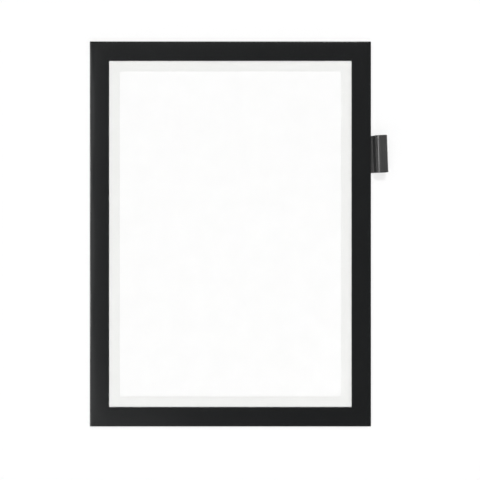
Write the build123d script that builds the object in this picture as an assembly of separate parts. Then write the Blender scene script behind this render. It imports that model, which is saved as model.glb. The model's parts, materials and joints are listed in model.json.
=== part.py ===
"""Magnetic document frame for one A4 sheet, with a pen loop and a front frame that opens on a film hinge.

Millimetres. X is to the viewer's right, Z is up and the front faces -Y. The origin is the middle of the back
face, which lies on the wall, so a depth is a distance from the wall towards the viewer.
"""
import os

from build123d import *

# The sheet that the frame holds
SHEET_WIDTH = 210.0
SHEET_HEIGHT = 297.0
SHEET_THICKNESS = 0.12
SHEET_CLEARANCE = 0.5  # from each edge of the sheet to the magnets round it

# The border, seen from the front
MAGNET_WIDTH = 12.0
EDGE_MARGIN = 0.5  # from the magnets out to the edge of the films
BORDER_WIDTH = 16.3  # black face
LIP_WIDTH = 8.7  # clear film that shows inside the black face
LIP_RADIUS = 4.0
CORNER_RADIUS = 0.6
STRIP_GAP = 0.4  # where the end of one magnet meets the side of the next

# The layers, from the wall to the viewer
BACK_FILM = 0.2
TAPE = 0.1
BACK_MAGNET = 0.5
CLOSING_GAP = 0.1  # between the two rings of magnets when the front frame is shut
FRONT_MAGNET = 0.5
FRONT_FILM = 0.2
BLACK_FILM = 0.2

# The fold along the left edge
FOLD_REACH = 4.0  # from the flat of the black face to the outermost line of the fold

# The pen loop on the right edge
LOOP_LENGTH = 31.2
LOOP_HEIGHT = 66.7  # its middle, above the middle of the frame
LOOP_TILT = 2.0  # degrees, with the lower end away from the frame
LOOP_WALL = 0.8
LOOP_DEPTH = 10.5  # from the wall to its front face
LOOP_FOOT = 1.5  # from the edge of the frame to where the sloping wall rises
LOOP_SHOULDER = 4.4  # from the edge of the frame to the corner above the sloping wall
LOOP_BASE = 12.2  # from the edge of the frame to the end of the back wall
LOOP_REACH = 13.6  # from the edge of the frame to the end of the front face
FOOT_RADIUS = 1.2
SHOULDER_RADIUS = 4.5
BASE_RADIUS = 1.8
REACH_RADIUS = 1.3
VALLEY_RADIUS = 0.5  # between the tab and the sloping wall
TAB_WIDTH = 10.0  # under the front frame
TAB_CLEARANCE = 0.8  # from the tab to the magnets above and below it
PAD_MARGIN = 1.0  # from the edge of the tab to its adhesive pad

# Outlines that follow from these
BORDER_TO_SHEET = SHEET_CLEARANCE + MAGNET_WIDTH + EDGE_MARGIN
FRAME_WIDTH = SHEET_WIDTH + 2 * BORDER_TO_SHEET
FRAME_HEIGHT = SHEET_HEIGHT + 2 * BORDER_TO_SHEET
RIGHT = FRAME_WIDTH / 2
TOP = FRAME_HEIGHT / 2
FOLD_LINE = FOLD_REACH - RIGHT

# Depths that follow from these
BACK_TAPE_DEPTH = BACK_FILM
BACK_MAGNET_DEPTH = BACK_TAPE_DEPTH + TAPE
FRONT_MAGNET_DEPTH = BACK_MAGNET_DEPTH + BACK_MAGNET + CLOSING_GAP
FRONT_TAPE_DEPTH = FRONT_MAGNET_DEPTH + FRONT_MAGNET
FRONT_FILM_DEPTH = FRONT_TAPE_DEPTH + TAPE
BLACK_FILM_DEPTH = FRONT_FILM_DEPTH + FRONT_FILM
FRAME_DEPTH = BLACK_FILM_DEPTH + BLACK_FILM


def rectangle(left, right, bottom, top):
    """A rectangle between four edges."""
    return Pos((left + right) / 2, (bottom + top) / 2) * Rectangle(right - left, top - bottom)


def layer(face, depth, thickness):
    """A flat sheet with the outline of a face as seen from the front, from a depth towards the viewer."""
    return extrude(Plane.XZ.offset(depth) * face, amount=thickness)


def film_outline():
    """The outline that the films share: straight along the fold, with the two free corners rounded."""
    sheet = rectangle(FOLD_LINE, RIGHT, -TOP, TOP)
    free_corners = sheet.vertices().group_by(Axis.X)[-1]
    return fillet(free_corners, CORNER_RADIUS)


def back_film():
    """Clear sheet that lies on the wall and carries the rest."""
    return layer(film_outline(), 0, BACK_FILM)


def front_film():
    """Clear film of the front frame, with the round-cornered writing window."""
    rim = BORDER_WIDTH + LIP_WIDTH
    window = RectangleRounded(FRAME_WIDTH - 2 * rim, FRAME_HEIGHT - 2 * rim, LIP_RADIUS)
    return layer(film_outline() - window, FRONT_FILM_DEPTH, FRONT_FILM)


def front_border():
    """Black face of the front frame."""
    opening = Rectangle(FRAME_WIDTH - 2 * BORDER_WIDTH, FRAME_HEIGHT - 2 * BORDER_WIDTH)
    return layer(film_outline() - opening, BLACK_FILM_DEPTH, BLACK_FILM)


def hinge_film():
    """Black film that folds round the left edge, from the black face to the back film."""
    half_depth = FRAME_DEPTH / 2
    outside = Ellipse(FOLD_REACH, half_depth)
    inside = Ellipse(FOLD_REACH - BLACK_FILM, half_depth - BLACK_FILM)
    left_half = rectangle(-FOLD_REACH, 0, -half_depth, half_depth)
    section = (outside - inside) & left_half
    return extrude(Pos(FOLD_LINE, -half_depth) * section, amount=TOP, both=True)


def insert_sheet():
    """The A4 sheet, which lies on the back film inside the ring of magnets."""
    return layer(Rectangle(SHEET_WIDTH, SHEET_HEIGHT), BACK_FILM, SHEET_THICKNESS)


def place_on_edge(shape):
    """Set a shape drawn round the middle of the pen loop's root in its tilted place on the right edge."""
    return Pos(RIGHT, 0, LOOP_HEIGHT) * Rot(0, -LOOP_TILT, 0) * shape


def round_corner(face, corner, radius):
    """Round the corner of a face that lies nearest to a point."""
    return fillet(face.vertices().sort_by_distance(corner)[0], radius)


def loop_section():
    """Section of the pen loop: a slanted closed loop with a flat tab, as distance from the edge and depth."""
    back = BACK_MAGNET_DEPTH
    foot = (LOOP_FOOT, back)
    base = (LOOP_BASE, back)
    reach = (LOOP_REACH, LOOP_DEPTH)
    shoulder = (LOOP_SHOULDER, LOOP_DEPTH)
    outside = make_face(Polyline(foot, base, reach, shoulder, close=True))
    outside = round_corner(outside, foot, FOOT_RADIUS)
    outside = round_corner(outside, base, BASE_RADIUS)
    outside = round_corner(outside, reach, REACH_RADIUS)
    outside = round_corner(outside, shoulder, SHOULDER_RADIUS)
    inside = offset(outside, -LOOP_WALL)

    tab_front = back + BACK_MAGNET
    tab = rectangle(-TAB_WIDTH, LOOP_FOOT + FOOT_RADIUS + LOOP_WALL, back, tab_front)
    slope = (LOOP_SHOULDER - LOOP_FOOT) / (LOOP_DEPTH - back)
    valley = (LOOP_FOOT + BACK_MAGNET * slope, tab_front)
    return round_corner(outside + tab, valley, VALLEY_RADIUS) - inside


def pen_holder():
    """Extruded pen loop, whose tab lies on the back film in a break in the right-hand magnets."""
    section_plane = Plane((0, 0, 0), x_dir=(1, 0, 0), z_dir=(0, 0, -1))
    return place_on_edge(extrude(section_plane * loop_section(), amount=LOOP_LENGTH / 2, both=True))


def pen_holder_tape():
    """Adhesive pad that holds the tab of the pen loop on the back film."""
    half_length = LOOP_LENGTH / 2 - PAD_MARGIN
    pad = rectangle(PAD_MARGIN - TAB_WIDTH, -PAD_MARGIN, -half_length, half_length)
    return place_on_edge(layer(pad, BACK_TAPE_DEPTH, TAPE))


def magnet_outlines():
    """Outlines of the ring of magnets round the sheet, by side."""
    left = FOLD_LINE + EDGE_MARGIN
    right = RIGHT - EDGE_MARGIN
    top = TOP - EDGE_MARGIN
    inner_top = top - MAGNET_WIDTH
    side_top = inner_top - STRIP_GAP
    return {
        "top": rectangle(left, right, inner_top, top),
        "bottom": rectangle(left, right, -top, -inner_top),
        "left": rectangle(left, MAGNET_WIDTH + EDGE_MARGIN - RIGHT, -side_top, side_top),
        "right": rectangle(right - MAGNET_WIDTH, right, -side_top, side_top),
    }


def back_magnet_outlines():
    """The same ring, with its right side broken where the tab of the pen loop lies."""
    outlines = magnet_outlines()
    side = outlines.pop("right").bounding_box()
    holder = pen_holder().bounding_box()
    break_top = holder.max.Z + TAB_CLEARANCE
    break_bottom = holder.min.Z - TAB_CLEARANCE
    outlines["right_upper"] = rectangle(side.min.X, side.max.X, break_top, side.max.Y)
    outlines["right_lower"] = rectangle(side.min.X, side.max.X, side.min.Y, break_bottom)
    return outlines


def strips(outlines, depth, thickness):
    """One flat strip for each outline, all at one depth."""
    return {side: layer(face, depth, thickness) for side, face in outlines.items()}


def all_pieces():
    """Every piece of the frame, by name."""
    pieces = {
        "back_film": back_film(),
        "insert_sheet": insert_sheet(),
        "hinge_film": hinge_film(),
        "pen_holder": pen_holder(),
        "pen_holder_tape": pen_holder_tape(),
        "front_film": front_film(),
        "front_border": front_border(),
    }
    back_ring = back_magnet_outlines()
    front_ring = magnet_outlines()
    for side, strip in strips(back_ring, BACK_MAGNET_DEPTH, BACK_MAGNET).items():
        pieces[f"back_magnet_{side}"] = strip
    for side, strip in strips(front_ring, FRONT_MAGNET_DEPTH, FRONT_MAGNET).items():
        pieces[f"front_magnet_{side}"] = strip
    pieces["back_tape"] = Compound(list(strips(back_ring, BACK_TAPE_DEPTH, TAPE).values()))
    pieces["front_tape"] = Compound(list(strips(front_ring, FRONT_TAPE_DEPTH, TAPE).values()))
    return pieces


os.makedirs("parts", exist_ok=True)
for name, piece in all_pieces().items():
    export_step(piece, f"parts/{name}.step")
print(f"frame {FRAME_WIDTH:.1f} x {FRAME_HEIGHT:.1f} x {FRAME_DEPTH:.2f} mm, fold axis at {-RIGHT:.1f}")
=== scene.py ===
import json
import math

import bmesh
import bpy
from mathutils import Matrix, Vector, noise


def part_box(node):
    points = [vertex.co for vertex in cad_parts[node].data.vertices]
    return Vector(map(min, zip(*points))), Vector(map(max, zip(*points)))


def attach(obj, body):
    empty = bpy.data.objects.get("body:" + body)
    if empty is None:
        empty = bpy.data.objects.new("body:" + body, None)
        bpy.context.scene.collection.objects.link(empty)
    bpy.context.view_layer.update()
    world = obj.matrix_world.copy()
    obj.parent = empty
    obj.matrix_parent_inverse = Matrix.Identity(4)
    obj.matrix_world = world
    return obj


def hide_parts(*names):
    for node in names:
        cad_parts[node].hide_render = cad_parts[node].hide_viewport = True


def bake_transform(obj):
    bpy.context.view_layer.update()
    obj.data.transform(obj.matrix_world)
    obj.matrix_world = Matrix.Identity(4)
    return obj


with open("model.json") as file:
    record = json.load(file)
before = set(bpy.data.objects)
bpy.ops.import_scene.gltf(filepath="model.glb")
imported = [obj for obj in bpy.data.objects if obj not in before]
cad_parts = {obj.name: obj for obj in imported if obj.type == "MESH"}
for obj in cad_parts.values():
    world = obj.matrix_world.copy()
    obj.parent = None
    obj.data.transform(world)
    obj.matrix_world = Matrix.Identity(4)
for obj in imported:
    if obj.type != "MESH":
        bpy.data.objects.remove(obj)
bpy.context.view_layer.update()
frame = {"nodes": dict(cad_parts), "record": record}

# Metres: X is to the viewer's right, Z is up, the front faces -Y, and a depth is a distance from the wall
MM = 0.001

# The photograph's view
PHOTO_PIXELS = 480
FRAME_CENTRE_PIXEL = (230.35, 233.95)
PIXEL = 0.839 * MM  # what a pixel covers at the front of the frame
CAMERA_DISTANCE = 1500 * MM
SENSOR_WIDTH = 36.0  # in millimetres, as the lens is

# Places read from the frame
BORDER_LOW, BORDER_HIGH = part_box("front_border")
FILM_LOW, FILM_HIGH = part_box("front_film")
FOLD_LOW, FOLD_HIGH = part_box("hinge_film")
SHEET_LOW, SHEET_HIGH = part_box("insert_sheet")
FOLD_LINE = BORDER_LOW.x
RIGHT = BORDER_HIGH.x
TOP = BORDER_HIGH.z
FRAME_DEPTH = -BORDER_LOW.y
FILM_FRONT = -FILM_LOW.y
FILM_BACK = -FILM_HIGH.y
BLACK_THICKNESS = FRAME_DEPTH - FILM_FRONT

# Widths that show on the front
BORDER_WIDTH = 16.3 * MM
LIP_WIDTH = 8.7 * MM
LIP_RADIUS = 1.5 * MM
CORNER_RADIUS = 0.6 * MM
OPENING_RADIUS = 0.3 * MM
FOLD_REACH = FOLD_LINE - FOLD_LOW.x
SIDE_WIDTH = BORDER_WIDTH - FOLD_REACH  # flat part of the black face beside the fold

# Edges, rounded or broken more finely than those of the solids
FILM_EDGE = 0.05 * MM
LIP_EDGE = 0.16 * MM  # the free edge of the clear lip
MAGNET_EDGE = 0.07 * MM
HOLDER_EDGE = 0.12 * MM
EDGE_STEPS = (0.0, 0.12, 0.4, 1.0)  # places across a rounded edge, as shares of its radius
SHARP_ANGLE = math.radians(40)  # faces that meet at more than this aren't shaded as one

# Shapes finer than the solids
CROWN = 0.22 * MM  # how far the front film stands off its magnets, between its glued edge and its lip
MAGNET_STEP = 8 * MM  # length of the faces along a magnet strip
SHEET_LIFT = 1.3 * MM  # how far the sheet's edges curl forward, towards the lip
COCKLE = 0.06 * MM
COCKLE_SPAN = 45 * MM
CREASED_END = 45 * MM  # upper stretch of the fold that is pressed flatter
CREASED_ROUNDNESS = 0.3  # at the very top of that stretch, where 1 is an ellipse
SWELL = 0.35  # share by which the fold swells and slackens along its height
SWELL_SPAN = 113 * MM
SWELL_PLACE = 104 * MM  # height of its topmost swell

# Finishes
VINYL_IOR = 1.54
LINE_STRETCH = 150  # length of the lines on a magnet strip, against their width
NOISE_LOW = 0.3  # the middle of a noise, where most of its values lie
NOISE_HIGH = 0.7

# Light from all round, by the angle from a dim place near the camera
DIM_ASIDE = math.radians(9)  # from straight ahead of the frame to the dim place
DIM_ABOVE = math.radians(-1)
DIM_HEIGHTS = 0.75  # heights count less than widths, so the dim place is taller than wide
DIM_LIGHT = 0.15
DIM_ENDS = math.radians(9)
RING_STARTS = math.radians(31)
RING_LIGHT = 0.82  # in the bright ring round the dim place
RING_ENDS = math.radians(46)
FAR_STARTS = math.radians(64)
FAR_SHARE = 0.25  # of the ring's light, beyond it
BACKDROP = 0.93  # what the camera sees behind the wall and floor


class Nodes:
    """A node tree under construction, with short calls for its nodes."""

    def __init__(self, tree):
        self.tree = tree

    def feed(self, socket, value):
        """Link a socket, or set a value."""
        if isinstance(value, bpy.types.NodeSocket):
            self.tree.links.new(value, socket)
        else:
            socket.default_value = value

    def node(self, kind, **inputs):
        """A node of that kind, with its inputs set to values or linked from sockets."""
        made = self.tree.nodes.new(kind)
        for name, value in inputs.items():
            self.feed(made.inputs[name.replace("_", " ")], value)
        return made

    def ordered(self, kind, values, operation=None):
        """The outputs of a node whose inputs are set or linked in their order."""
        made = self.tree.nodes.new(kind)
        if operation:
            made.operation = operation
        for socket, value in zip(made.inputs, values):
            self.feed(socket, value)
        return made.outputs

    def math(self, operation, *values):
        """The result of a sum on sockets and numbers."""
        return self.ordered("ShaderNodeMath", values, operation)["Value"]

    def vector(self, operation, *values):
        """The result of a sum on directions: a direction, or a number if it is their product."""
        outputs = self.ordered("ShaderNodeVectorMath", values, operation)
        return outputs["Value" if operation == "DOT_PRODUCT" else "Vector"]

    def ramp(self, value, start, stop, low, high, shape="LINEAR"):
        """A number that goes from low to high while a value goes from start to stop."""
        limits = {"From_Min": start, "From_Max": stop, "To_Min": low, "To_Max": high}
        made = self.node("ShaderNodeMapRange", Value=value, **limits)
        made.interpolation_type = shape
        return made.outputs["Result"]


class Finish(Nodes):
    """A node material under construction, with short calls for what the finishes share."""

    def __init__(self, name):
        self.material = bpy.data.materials.new(name)
        self.material.use_nodes = True
        super().__init__(self.material.node_tree)
        self.shader = self.tree.nodes["Principled BSDF"]
        self.output = self.tree.nodes["Material Output"]
        self.place = self.node("ShaderNodeTexCoord").outputs["Object"]

    def set(self, **inputs):
        """Set or link inputs of the main shader."""
        for name, value in inputs.items():
            self.feed(self.shader.inputs[name.replace("_", " ")], value)

    def noise(self, scale, detail, stretch=(1, 1, 1)):
        """Noise in the object's own space: scale is in bumps per metre, and stretch divides it by axis."""
        mapping = self.node("ShaderNodeMapping", Vector=self.place, Scale=[1 / s for s in stretch])
        made = self.node("ShaderNodeTexNoise", Vector=mapping.outputs["Vector"], Scale=scale, Detail=detail)
        return made.outputs["Fac"]

    def between(self, factor, low, high):
        """A number that goes from low to high over the middle of a noise or another factor."""
        return self.ramp(factor, NOISE_LOW, NOISE_HIGH, low, high)

    def tone(self, factor, dark, light):
        """A colour that goes from dark to light over the middle of a noise or another factor."""
        made = self.tree.nodes.new("ShaderNodeMix")
        made.data_type = "RGBA"
        # A Mix node has sockets for numbers first, then for directions, then for colours
        dark_socket, light_socket = made.inputs[6:8]
        mixed = made.outputs[2]
        self.feed(made.inputs["Factor"], self.between(factor, 0, 1))
        self.feed(dark_socket, (*dark, 1))
        self.feed(light_socket, (*light, 1))
        return mixed

    def bump(self, height, depth, onto=None):
        """A bump of that depth in metres, on top of another one if given."""
        made = self.node("ShaderNodeBump", Height=height, Distance=depth, Strength=1.0)
        if onto is not None:
            self.feed(made.inputs["Normal"], onto)
        return made.outputs["Normal"]

    def mix(self, factor, first, second):
        """Two shaders mixed."""
        return self.ordered("ShaderNodeMixShader", (factor, first, second))["Shader"]

    def surface(self, shader):
        """Use a shader as the surface."""
        self.feed(self.output.inputs["Surface"], shader)


def black_vinyl():
    """Satin black film: faint cloudiness, a fine matt grain and a slow waviness."""
    finish = Finish("black_vinyl")
    cloud = finish.noise(scale=30, detail=3)
    grain = finish.noise(scale=2600, detail=2)
    wave = finish.noise(scale=14, detail=1)
    finish.set(Base_Color=finish.tone(cloud, (0.0055, 0.0062, 0.0066), (0.0069, 0.0076, 0.0080)))
    finish.set(Roughness=finish.between(grain, 0.15, 0.19))
    finish.set(IOR=VINYL_IOR)
    finish.set(Normal=finish.bump(grain, depth=0.01 * MM, onto=finish.bump(wave, depth=0.2 * MM)))
    return finish.material


def holder_vinyl():
    """Dark grey soft vinyl with the faint streaks of an extrusion along its length."""
    finish = Finish("holder_vinyl")
    streak = finish.noise(scale=1500, detail=2, stretch=(1, 1, 60))
    grain = finish.noise(scale=3000, detail=2)
    finish.set(Base_Color=finish.tone(streak, (0.041, 0.041, 0.041), (0.049, 0.049, 0.049)))
    finish.set(Roughness=finish.between(grain, 0.22, 0.26))
    finish.set(IOR=VINYL_IOR)
    finish.set(Normal=finish.bump(streak, depth=0.015 * MM, onto=finish.bump(grain, depth=0.01 * MM)))
    return finish.material


def magnet_rubber(name, stretch):
    """Matt brown-black ferrite rubber: specks of filler, and calender lines that run as stretch says."""
    finish = Finish(name)
    line_share = 0.7
    lines = finish.noise(scale=2000, detail=2, stretch=stretch)
    specks = finish.noise(scale=2200, detail=4)
    speck_part = finish.math("MULTIPLY", specks, 1 - line_share)
    streaks = finish.math("MULTIPLY_ADD", lines, line_share, speck_part)
    finish.set(Base_Color=finish.tone(streaks, (0.020, 0.0175, 0.016), (0.040, 0.034, 0.031)))
    finish.set(Roughness=finish.between(specks, 0.60, 0.78))
    finish.set(Normal=finish.bump(lines, depth=0.03 * MM, onto=finish.bump(specks, depth=0.02 * MM)))
    return finish.material


def white_paper():
    """Uncoated office paper: a trace of fibre in its tone and in its surface."""
    finish = Finish("white_paper")
    fibre = finish.noise(scale=900, detail=5)
    cloud = finish.noise(scale=60, detail=3)
    finish.set(Base_Color=finish.tone(cloud, (0.908, 0.908, 0.905), (0.922, 0.922, 0.919)))
    finish.set(Roughness=finish.between(fibre, 0.85, 0.95))
    finish.set(Specular_IOR_Level=0.2)
    finish.set(Normal=finish.bump(fibre, depth=0.01 * MM))
    return finish.material


def clear_film():
    """Clear film that passes light straight, less what it mirrors: little face on, most at a low angle.

    Its cut edges, which face neither forwards nor back, pass less: painted shade that stands in for the
    light a cut edge bends away.
    """
    finish = Finish("clear_film")
    mirrored_face_on = 0.03
    glancing_power = 5.0
    slant = finish.node("ShaderNodeLayerWeight", Blend=0.5).outputs["Facing"]
    glancing = finish.math("POWER", slant, glancing_power)
    mirrored = finish.math("MULTIPLY_ADD", glancing, 1 - mirrored_face_on, mirrored_face_on)
    facing = finish.node("ShaderNodeTexCoord").outputs["Normal"]
    forwards = finish.node("ShaderNodeSeparateXYZ", Vector=facing).outputs["Y"]
    flatness = finish.math("ABSOLUTE", forwards)
    # painted shade: the cut edges, which face sideways, are tinted darker than the clear faces
    tint_and_edge_shade = finish.tone(flatness, (0.45, 0.46, 0.44), (0.989, 0.990, 0.987))
    clear = finish.node("ShaderNodeBsdfTransparent", Color=tint_and_edge_shade)
    dullness = finish.between(finish.noise(scale=140, detail=3), 0.05, 0.12)
    wave = finish.noise(scale=22, detail=1)
    waviness = finish.bump(wave, depth=0.3 * MM)
    shine = finish.node("ShaderNodeBsdfGlossy", Color=(1, 1, 1, 1), Roughness=dullness, Normal=waviness)
    finish.surface(finish.mix(mirrored, clear.outputs[0], shine.outputs[0]))
    finish.tree.nodes.remove(finish.shader)
    return finish.material


def transfer_tape():
    """Milky transfer tape that lets most of what is behind it show."""
    finish = Finish("transfer_tape")
    cloud = finish.noise(scale=120, detail=3)
    finish.set(Base_Color=finish.tone(cloud, (0.50, 0.49, 0.45), (0.62, 0.61, 0.57)))
    finish.set(Roughness=finish.between(cloud, 0.35, 0.5))
    finish.set(Normal=finish.bump(cloud, depth=0.03 * MM))
    clear = finish.node("ShaderNodeBsdfTransparent", Color=(0.93, 0.92, 0.88, 1))
    milkiness = finish.between(cloud, 0.10, 0.18)
    finish.surface(finish.mix(milkiness, clear.outputs[0], finish.shader.outputs[0]))
    return finish.material


def new_piece(name, bm, material, slot, body, *replaced):
    """Turn a finished bmesh into a piece of the object, which rides on a body if one is given."""
    bmesh.ops.recalc_face_normals(bm, faces=bm.faces)
    mesh = bpy.data.meshes.new(name)
    bm.to_mesh(mesh)
    bm.free()
    mesh.materials.append(material)
    mesh.polygons.foreach_set("use_smooth", [True] * len(mesh.polygons))
    mesh.set_sharp_from_angle(angle=SHARP_ANGLE)
    piece = bpy.data.objects.new(name, mesh)
    bpy.context.scene.collection.objects.link(piece)
    if body:
        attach(piece, body)
    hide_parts(*replaced)
    return piece


def skin(bm, sections, closed=False):
    """Faces from each section of a tube to the next one, and from the last to the first if it is closed."""
    following = sections[1:] + sections[:1] if closed else sections[1:]
    count = len(sections[0])
    for here, there in zip(sections, following):
        for i in range(count):
            j = (i + 1) % count
            bm.faces.new((here[i], here[j], there[j], there[i]))


def rise(distance, width):
    """From 0 at an edge to 1 at a width from it, steepest at the edge."""
    return 1 - max(0.0, 1 - distance / width) ** 3


def crown(x, z):
    """How far the front film stands off its magnets: not at all at its glued edges, and most at its lip."""
    across = rise(x - FOLD_LINE, SIDE_WIDTH) * rise(RIGHT - x, BORDER_WIDTH)
    along = rise(TOP - z, BORDER_WIDTH) * rise(TOP + z, BORDER_WIDTH)
    return CROWN * across * along


def rounded_rectangle(left, right, bottom, top, radius, per_side=60, per_corner=6):
    """Points (x, z) round a rectangle with rounded corners, anticlockwise from its lower right corner."""
    centres = [
        (right - radius, bottom + radius),
        (right - radius, top - radius),
        (left + radius, top - radius),
        (left + radius, bottom + radius),
    ]
    points = []
    for corner, (x, z) in enumerate(centres):
        first = math.radians(90 * corner - 90)
        for i in range(per_corner + 1):
            angle = first + math.radians(90) * i / per_corner
            points.append(Vector((x + radius * math.cos(angle), z + radius * math.sin(angle))))
        # A corner ends at the angle that the next one starts from
        next_x, next_z = centres[(corner + 1) % len(centres)]
        end = Vector((next_x + radius * math.cos(angle), next_z + radius * math.sin(angle)))
        start = points[-1]
        points += [start.lerp(end, i / per_side) for i in range(1, per_side)]
    return points


def outer_outline():
    """The outline of the flat films, from the fold to the right edge."""
    return rounded_rectangle(FOLD_LINE, RIGHT, -TOP, TOP, CORNER_RADIUS)


def opening_outline(rim, radius):
    """The outline of an opening with a rim of even width round it."""
    half_width = RIGHT - rim
    half_height = TOP - rim
    return rounded_rectangle(-half_width, half_width, -half_height, half_height, radius)


def edge_shares(width, edge, middle=14):
    """Places across a strip, as shares of its width, close together where its two edges are rounded."""
    near = [step * edge / width for step in EDGE_STEPS]
    between = [i / middle for i in range(1, middle)]
    return near + between + [1 - share for share in reversed(near)]


def round_off(distance, edge):
    """How far a rounded edge falls below the face, at a distance from it."""
    short = max(0.0, edge - distance)
    return edge - math.sqrt(edge**2 - short**2)


def ring_mesh(outer, inner, shares, front, back):
    """A closed ring between two outlines: front and back give depths at x, z and a share of the width."""
    bm = bmesh.new()
    sections = []
    for out_point, in_point in zip(outer, inner):
        section = []
        for share in shares:
            x, z = out_point.lerp(in_point, share)
            section.append(bm.verts.new((x, -front(x, z, share), z)))
        for share in reversed(shares):
            x, z = out_point.lerp(in_point, share)
            section.append(bm.verts.new((x, -back(x, z, share), z)))
        sections.append(section)
    skin(bm, sections, closed=True)
    return bm


def border_face(material):
    """The black face: a slightly crowned film with rounded cut edges, which runs on into the fold."""
    square_side = FOLD_LINE + CORNER_RADIUS  # points left of this go to the fold, so its corners are square
    outer = [Vector((FOLD_LINE, p.y)) if p.x < square_side else p for p in outer_outline()]
    inner = opening_outline(BORDER_WIDTH, OPENING_RADIUS)

    def front(x, z, share):
        beside_fold = share < 0.5 and x < FOLD_LINE + SIDE_WIDTH / 2
        to_edge = (1 - share if beside_fold else min(share, 1 - share)) * BORDER_WIDTH
        return FRAME_DEPTH + crown(x, z) - round_off(to_edge, FILM_EDGE)

    def back(x, z, share):
        return FILM_FRONT + crown(x, z)

    bm = ring_mesh(outer, inner, edge_shares(BORDER_WIDTH, FILM_EDGE), front, back)
    new_piece("border_face", bm, material, "black_film", "front_frame", "front_border")


def lip_film(material):
    """The clear film under the black face, whose free lip frames the writing window."""
    rim = BORDER_WIDTH + LIP_WIDTH
    inner = opening_outline(rim, LIP_RADIUS)

    def front(x, z, share):
        return FILM_FRONT + crown(x, z) - round_off((1 - share) * rim, LIP_EDGE)

    def back(x, z, share):
        return FILM_BACK + crown(x, z)

    bm = ring_mesh(outer_outline(), inner, edge_shares(rim, LIP_EDGE), front, back)
    new_piece("lip_film", bm, material, "clear_film", "front_frame", "front_film")


def hinge_fold(material):
    """The black film folded round the left edge, as one skin."""
    around = 32
    rows = 120
    half = FRAME_DEPTH / 2
    probe = 0.01 * MM  # step in which the slope of the black face is read

    def roundness(z):
        """About 1 where the fold is an ellipse, and less where it is creased, as near its upper end."""
        share = min(1.0, (TOP - z) / CREASED_END)
        swell = 1 + SWELL * math.cos(2 * math.pi * (z - SWELL_PLACE) / SWELL_SPAN)
        return swell * (CREASED_ROUNDNESS + (1 - CREASED_ROUNDNESS) * share**2 * (3 - 2 * share))

    def curve_point(turn, inset, z):
        """A point of the fold: turn 0 is its back edge, and turn 1 the edge that meets the black face."""
        slope = crown(FOLD_LINE + probe, z) / probe
        angle = math.pi * turn
        # The front half falls off as steeply as the black face beside it
        fall = slope * FOLD_REACH * math.sin(angle) * max(0.0, -math.cos(angle))
        x = FOLD_LINE - (FOLD_REACH - inset) * math.sin(angle) ** roundness(z)
        depth = half - (half - inset) * math.cos(angle) - fall
        return Vector((x, -depth, z))

    bm = bmesh.new()
    sections = []
    for row in range(rows + 1):
        z = FOLD_LOW.z + (FOLD_HIGH.z - FOLD_LOW.z) * row / rows
        outside = [curve_point(i / around, 0, z) for i in range(around + 1)]
        inside = [curve_point(i / around, BLACK_THICKNESS, z) for i in range(around, -1, -1)]
        sections.append([bm.verts.new(p) for p in outside + inside])
    skin(bm, sections)
    for end in (sections[0], sections[-1]):
        last = len(end) - 1
        for i in range(around):
            bm.faces.new((end[i], end[i + 1], end[last - i - 1], end[last - i]))
    piece = new_piece("hinge_fold", bm, material, "black_film", None, "hinge_film")
    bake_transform(piece)


def paper_sheet(material):
    """The A4 sheet, a little dished so that its edges come up behind the lip, with a trace of cockle."""
    columns = 42
    rows = 60
    half_width = SHEET_HIGH.x
    half_height = SHEET_HIGH.z

    def lift(x, z):
        flat = (1 - (x / half_width) ** 2) * (1 - (z / half_height) ** 2)
        ripple = 1 + noise.noise(Vector((x, z, 0)) / COCKLE_SPAN)
        return SHEET_LIFT * (1 - flat) + COCKLE * ripple * flat

    bm = bmesh.new()
    rims = []
    for face in (SHEET_HIGH.y, SHEET_LOW.y):
        lines = []
        for row in range(rows + 1):
            z = half_height * (2 * row / rows - 1)
            places = [half_width * (2 * column / columns - 1) for column in range(columns + 1)]
            lines.append([bm.verts.new((x, face - lift(x, z), z)) for x in places])
        for low, high in zip(lines, lines[1:]):
            for i in range(columns):
                bm.faces.new((low[i], low[i + 1], high[i + 1], high[i]))
        left_side = [line[0] for line in lines]
        right_side = [line[-1] for line in lines]
        # Once round the face, from its lower left corner
        rims.append(lines[0] + right_side[1:] + lines[-1][-2::-1] + left_side[-2:0:-1])
    skin(bm, rims)
    new_piece("paper_sheet", bm, material, "white_paper", "back_half", "insert_sheet")


def magnet_bar(node, body, material):
    """A magnet strip in the place of its solid, with its cut edges broken."""
    low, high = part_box(node)
    size = high - low
    long, wide, deep = sorted(range(3), key=lambda axis: -size[axis])
    steps = round(size[long] / MAGNET_STEP)
    stations = [(0, MAGNET_EDGE), (MAGNET_EDGE, 0)]
    stations += [(size[long] * i / steps, 0) for i in range(1, steps)]
    stations += [(size[long] - MAGNET_EDGE, 0), (size[long], MAGNET_EDGE)]
    left, right = MAGNET_EDGE, size[wide] - MAGNET_EDGE
    bottom, top = MAGNET_EDGE, size[deep] - MAGNET_EDGE
    outline = [(0, bottom), (left, 0), (right, 0), (size[wide], bottom)]
    outline += [(size[wide], top), (right, size[deep]), (left, size[deep]), (0, top)]

    bm = bmesh.new()
    sections = []
    for along, inset in stations:
        section = []
        for across, up in outline:
            point = low.copy()
            point[long] += along
            point[wide] += inset + across * (1 - 2 * inset / size[wide])
            point[deep] += inset + up * (1 - 2 * inset / size[deep])
            section.append(bm.verts.new(point))
        sections.append(section)
    skin(bm, sections)
    bm.faces.new(sections[0])
    bm.faces.new(sections[-1])
    new_piece(node.replace("magnet", "strip"), bm, material, "magnet_rubber", body, node)


def finish_nodes(material, *names):
    """Give carried-over CAD pieces their finish."""
    for name in names:
        node = frame["nodes"][name]
        node.data.materials.clear()
        node.data.materials.append(material)


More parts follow.
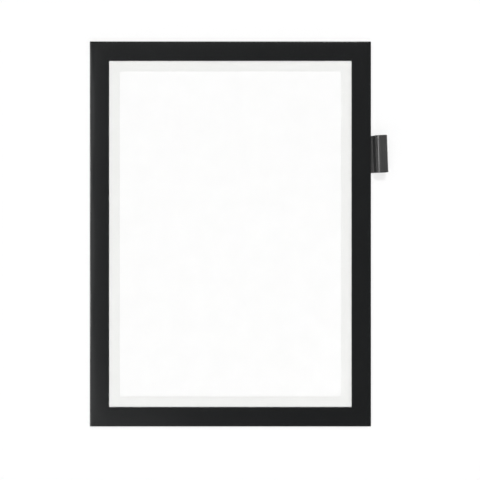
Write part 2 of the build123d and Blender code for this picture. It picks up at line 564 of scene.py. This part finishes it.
def soften_edges(name, width):
    """Break the sharp edges of a carried-over CAD piece, and keep its wide faces evenly shaded."""
    node = frame["nodes"][name]
    weld = node.modifiers.new("weld", "WELD")
    weld.merge_threshold = 0.001 * MM
    bevel = node.modifiers.new("bevel", "BEVEL")
    bevel.width = width
    bevel.segments = 2
    bevel.limit_method = "ANGLE"
    bevel.angle_limit = math.radians(50)
    shading = node.modifiers.new("shading", "WEIGHTED_NORMAL")
    shading.weight = 100


def studio_white(name, glow):
    """Matt white that the lamps shade only in part, so that shadows on it stay faint."""
    finish = Finish(name)
    cloud = finish.noise(scale=300, detail=2)
    finish.set(Base_Color=finish.tone(cloud, (0.955, 0.955, 0.955), (0.965, 0.965, 0.965)))
    finish.set(Roughness=0.9)
    finish.set(Specular_IOR_Level=0.0)
    ray = finish.node("ShaderNodeLightPath").outputs
    seen = finish.math("MAXIMUM", ray["Is Camera Ray"], ray["Is Glossy Ray"])
    seen = finish.math("MAXIMUM", seen, ray["Is Transmission Ray"])
    white = finish.node("ShaderNodeEmission", Color=(1, 1, 1, 1), Strength=1.0)
    share = finish.math("MULTIPLY", seen, glow)
    return finish, finish.mix(share, finish.shader.outputs[0], white.outputs[0])


def studio_wall():
    """White wall that neither hides the back of the frame nor keeps the light off it."""
    finish, white = studio_white("studio_wall", glow=0.68)
    ray = finish.node("ShaderNodeLightPath").outputs
    behind = finish.node("ShaderNodeNewGeometry").outputs["Backfacing"]
    gone = finish.node("ShaderNodeBsdfTransparent")
    hidden = finish.math("MAXIMUM", behind, ray["Is Shadow Ray"])
    finish.surface(finish.mix(hidden, white, gone.outputs[0]))
    return finish.material


def studio_floor():
    """Pale floor."""
    finish, white = studio_white("studio_floor", glow=0.8)
    finish.surface(white)
    return finish.material


def stage_plane(name, corners, material):
    """A flat rectangle of the studio."""
    mesh = bpy.data.meshes.new(name)
    mesh.from_pydata(corners, [], [range(len(corners))])
    mesh.materials.append(material)
    plane = bpy.data.objects.new(name, mesh)
    bpy.context.scene.collection.objects.link(plane)


def studio():
    """A white wall behind the frame and a pale floor well below it."""
    gap = 0.3 * MM  # from the back of the frame to the wall
    side = 4.0
    ceiling = 3.0
    floor = -0.9
    reach = 30.0
    front = -1.2  # the floor ends here, so that the black face doesn't mirror it
    wall_corners = [
        (-side, gap, floor),
        (side, gap, floor),
        (side, gap, ceiling),
        (-side, gap, ceiling),
    ]
    floor_corners = [
        (-reach, front, floor),
        (reach, front, floor),
        (reach, reach, floor),
        (-reach, reach, floor),
    ]
    stage_plane("wall", wall_corners, studio_wall())
    stage_plane("floor", floor_corners, studio_floor())


def lamp(name, place, size, power):
    """A soft rectangular lamp at a place, turned to the frame."""
    data = bpy.data.lights.new(name, "AREA")
    data.shape = "RECTANGLE"
    data.size, data.size_y = size
    data.energy = power
    made = bpy.data.objects.new(name, data)
    made.location = place
    made.rotation_euler = (-Vector(place)).to_track_quat("-Z", "Y").to_euler()
    bpy.context.scene.collection.objects.link(made)
    return made


def card(name, place, size, power):
    """A lit card that shows in gloss alone, so that it casts no shadow on the wall."""
    lamp(name, place, size, power).visible_diffuse = False


def lights():
    """A small key from above right, cards to the left and below for the gloss, and fill behind the wall."""
    lamp("key", place=(1.2, -6.0, 3.6), size=(0.42, 0.42), power=240)
    card("card_left", place=(-4.0, -3.5, 0.0), size=(1.0, 1.3), power=48)
    card("card_low_left", place=(-0.53, -3.0, -0.72), size=(0.64, 0.64), power=0.45)
    lamp("back_left", place=(-1.4, 1.6, 0.9), size=(1.2, 1.2), power=37)
    lamp("back_right", place=(1.6, 1.5, 0.5), size=(1.0, 1.2), power=26)


def sky():
    """Light from all round: dim a little to the right of the camera, bright round that, and faint beyond.

    The camera itself sees an even backdrop.
    """
    world = bpy.data.worlds.new("studio_light")
    world.use_nodes = True
    bpy.context.scene.world = world
    nodes = Nodes(world.node_tree)
    dim_place = Vector((math.tan(DIM_ASIDE), -1, math.tan(DIM_ABOVE))).normalized()
    direction = nodes.node("ShaderNodeTexCoord").outputs["Generated"]
    lowered = nodes.vector("NORMALIZE", nodes.vector("MULTIPLY", direction, (1, 1, DIM_HEIGHTS)))
    angle = nodes.math("ARCCOSINE", nodes.vector("DOT_PRODUCT", lowered, dim_place))
    inside = nodes.ramp(angle, DIM_ENDS, RING_STARTS, DIM_LIGHT, RING_LIGHT, "SMOOTHSTEP")
    beyond = nodes.ramp(angle, RING_ENDS, FAR_STARTS, 1.0, FAR_SHARE, "SMOOTHSTEP")
    light = nodes.math("MULTIPLY", inside, beyond)
    seen = nodes.node("ShaderNodeLightPath").outputs["Is Camera Ray"]
    strength = nodes.math("MULTIPLY_ADD", seen, nodes.math("SUBTRACT", BACKDROP, light), light)
    background = nodes.tree.nodes["Background"]
    nodes.feed(background.inputs["Color"], (1, 1, 1, 1))
    nodes.feed(background.inputs["Strength"], strength)


def camera():
    """The photograph's frontal view."""
    data = bpy.data.cameras.new("photo_view")
    data.sensor_width = SENSOR_WIDTH
    data.lens = SENSOR_WIDTH * CAMERA_DISTANCE / (PHOTO_PIXELS * PIXEL)
    made = bpy.data.objects.new("photo_view", data)
    middle = PHOTO_PIXELS / 2
    aside = (middle - FRAME_CENTRE_PIXEL[0]) * PIXEL
    below = (middle - FRAME_CENTRE_PIXEL[1]) * PIXEL
    made.location = (aside, -FRAME_DEPTH - CAMERA_DISTANCE, -below)
    made.rotation_euler = (math.pi / 2, 0, 0)
    bpy.context.scene.collection.objects.link(made)
    bpy.context.scene.camera = made


black = black_vinyl()
clear = clear_film()
lying_magnet = magnet_rubber("magnet_rubber_lying", stretch=(LINE_STRETCH, LINE_STRETCH, 1))
upright_magnet = magnet_rubber("magnet_rubber_upright", stretch=(1, LINE_STRETCH, LINE_STRETCH))
border_face(black)
hinge_fold(black)
lip_film(clear)
paper_sheet(white_paper())
for body, nodes in frame["record"]["behaviour"]["bodies"].items():
    for node in nodes:
        if "_magnet_" in node:
            lying = node.endswith(("_top", "_bottom"))
            magnet_bar(node, body, lying_magnet if lying else upright_magnet)
finish_nodes(clear, "back_film")
finish_nodes(transfer_tape(), "back_tape", "front_tape", "pen_holder_tape")
finish_nodes(holder_vinyl(), "pen_holder")
soften_edges("pen_holder", HOLDER_EDGE)
studio()
lights()
sky()
camera()
bpy.context.scene.view_settings.view_transform = "Standard"
